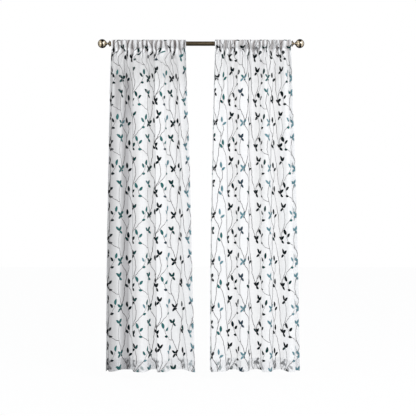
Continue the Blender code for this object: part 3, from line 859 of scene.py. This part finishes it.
def finial_profile():
    ball, lip, neck, plug = BALL_D / 2, COLLAR_D / 2, NECK_D / 2, r - 0.0016
    p = [(-0.022, 0), (-0.022, plug * 0.92), (-0.0215, plug * 0.97), (-0.020, plug), (0.0003, plug)]
    p += [(0.0003, lip * 0.78), (0.0005, lip * 0.82), (0.0011, lip * 0.88), (0.0020, lip * 0.94), (0.0031, lip * 0.985), (0.0042, lip),
          (0.0050, lip * 0.99), (0.0057, lip * 0.965)]
    for k in range(1, 15):
        t = k / 14
        p.append((0.0057 + 0.0108 * t, neck * 0.98 + (lip * 0.965 - neck * 0.98) * (1 - t) ** 1.25))
    p += [(0.0180, neck * 0.98), (0.0195, neck * 1.03), (0.0212, neck * 1.16), (0.0228, neck * 1.38), (0.0243, neck * 1.68), (0.0258, neck * 2.06)]
    a0 = 0.52
    for k in range(38):
        a = a0 + (pi - a0) * k / 38
        p.append((BALL_AT - ball * cos(a), ball * sin(a)))
    p.append((BALL_AT + ball, 0))
    return [(ROD_HALF + x, q) for x, q in p]


for side in ("left", "right"):
    f = turned("finial_turned_" + side, finial_profile(), 64, flip=side == "left")
    f.data.materials.append(finial_brass)
    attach(f, "root")
    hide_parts("finial_" + side)

# ------------------------------------------------------------------ floor, lights, camera
world = bpy.data.worlds.new("studio")
bpy.context.scene.world = world
world.use_nodes = True
nodes, links = world.node_tree.nodes, world.node_tree.links
nodes.clear()
seen = nodes.new("ShaderNodeBackground")
seen.inputs["Color"].default_value = (1, 1, 1, 1)
seen.inputs["Strength"].default_value = 1.0
lit = nodes.new("ShaderNodeBackground")
lit.inputs["Color"].default_value = (0.95, 0.97, 1.0, 1)
lit.inputs["Strength"].default_value = 0.84
rays = nodes.new("ShaderNodeLightPath")
# What the metal mirrors: a dark middle with bright panels on both sides, dark overhead, below and behind.
way = nodes.new("ShaderNodeTexCoord")
part = nodes.new("ShaderNodeSeparateXYZ")
links.new(way.outputs["Generated"], part.inputs[0])
across = ramp(nodes, links, maths(nodes, links, "ADD", maths(nodes, links, "MULTIPLY", part.outputs["X"], 0.5), 0.5),
              [(0.02, (0.42, 0.40, 0.34)), (0.12, (0.88, 0.86, 0.78)), (0.32, (0.70, 0.67, 0.58)), (0.42, (0.035, 0.028, 0.024)), (0.70, (0.03, 0.024, 0.020)),
               (0.78, (1.0, 1.0, 1.0)), (1.0, (1.0, 1.0, 1.0))])
height = ramp(nodes, links, maths(nodes, links, "ADD", maths(nodes, links, "MULTIPLY", part.outputs["Z"], 0.5), 0.5),
              [(0.03, (0.07, 0.06, 0.055)), (0.11, (0.8, 0.78, 0.74)), (0.88, (1, 1, 1)), (0.96, (0.09, 0.08, 0.07)), (1.0, (0.06, 0.05, 0.045))])
depth = ramp(nodes, links, maths(nodes, links, "ADD", maths(nodes, links, "MULTIPLY", part.outputs["Y"], 0.5), 0.5),
             [(0.0, (1, 1, 1)), (0.60, (1, 1, 1)), (0.72, (0.075, 0.060, 0.045)), (1.0, (0.06, 0.048, 0.036))])
both = nodes.new("ShaderNodeMix")
both.data_type = "RGBA"
both.blend_type = "MULTIPLY"
both.inputs["Factor"].default_value = 1.0
links.new(across, both.inputs["A"])
links.new(height, both.inputs["B"])
all_three = nodes.new("ShaderNodeMix")
all_three.data_type = "RGBA"
all_three.blend_type = "MULTIPLY"
all_three.inputs["Factor"].default_value = 1.0
links.new(both.outputs["Result"], all_three.inputs["A"])
links.new(depth, all_three.inputs["B"])
mirrored = nodes.new("ShaderNodeBackground")
mirrored.inputs["Strength"].default_value = 1.35
links.new(all_three.outputs["Result"], mirrored.inputs["Color"])
mix = nodes.new("ShaderNodeMixShader")
links.new(rays.outputs["Is Glossy Ray"], mix.inputs[0])
links.new(lit.outputs[0], mix.inputs[1])
links.new(mirrored.outputs[0], mix.inputs[2])
last = nodes.new("ShaderNodeMixShader")
links.new(rays.outputs["Is Camera Ray"], last.inputs[0])
links.new(mix.outputs[0], last.inputs[1])
links.new(seen.outputs[0], last.inputs[2])
end = nodes.new("ShaderNodeOutputWorld")
links.new(last.outputs[0], end.inputs["Surface"])


def area(name, place, target, size, watts, colour=(1, 1, 1)):
    data = bpy.data.lights.new(name, "AREA")
    data.shape = "RECTANGLE"
    data.size, data.size_y = size
    data.energy = watts
    data.color = colour
    obj = bpy.data.objects.new(name, data)
    obj.location = place
    obj.rotation_euler = (Vector(target) - Vector(place)).to_track_quat("-Z", "Y").to_euler()
    bpy.context.scene.collection.objects.link(obj)
    return obj


area("key", (2.2, -3.4, 0.9), (0, 0, -1.0), (2.4, 2.4), 75)
area("fill", (-3.0, -3.4, -0.4), (0, 0, -1.1), (2.4, 2.4), 24)

floor_mesh = bpy.data.meshes.new("floor")
floor_mesh.from_pydata([(-9, -9, 0), (9, -9, 0), (9, 9, 0), (-9, 9, 0)], [], [(0, 1, 2, 3)])
floor = bpy.data.objects.new("floor", floor_mesh)
floor.location = (0, 0, BOTTOM_Z - 0.06)
bpy.context.scene.collection.objects.link(floor)
floor.visible_glossy = False
m, nt, nodes, links = material("pale_floor")
d = nodes.new("ShaderNodeBsdfDiffuse")
d.inputs["Color"].default_value = (0.93, 0.93, 0.93, 1)
glow = nodes.new("ShaderNodeEmission")
rays = nodes.new("ShaderNodeLightPath")
mix = nodes.new("ShaderNodeMixShader")
links.new(maths(nodes, links, "MULTIPLY", rays.outputs["Is Camera Ray"], 0.93), mix.inputs[0])
links.new(d.outputs[0], mix.inputs[1])
links.new(glow.outputs[0], mix.inputs[2])
end = nodes.new("ShaderNodeOutputMaterial")
links.new(mix.outputs[0], end.inputs["Surface"])
floor.data.materials.append(m)

scene = bpy.context.scene
scene.view_settings.view_transform = "Standard"
camera_data = bpy.data.cameras.new("camera")
camera = bpy.data.objects.new("camera", camera_data)
DISTANCE = 4.7
camera.location = (0.045, -DISTANCE, -1.060)
camera.rotation_euler = (pi / 2, 0, 0)
camera_data.sensor_width = 36.0
camera_data.lens = 36.0 * DISTANCE / 2.683
scene.collection.objects.link(camera)
scene.camera = camera
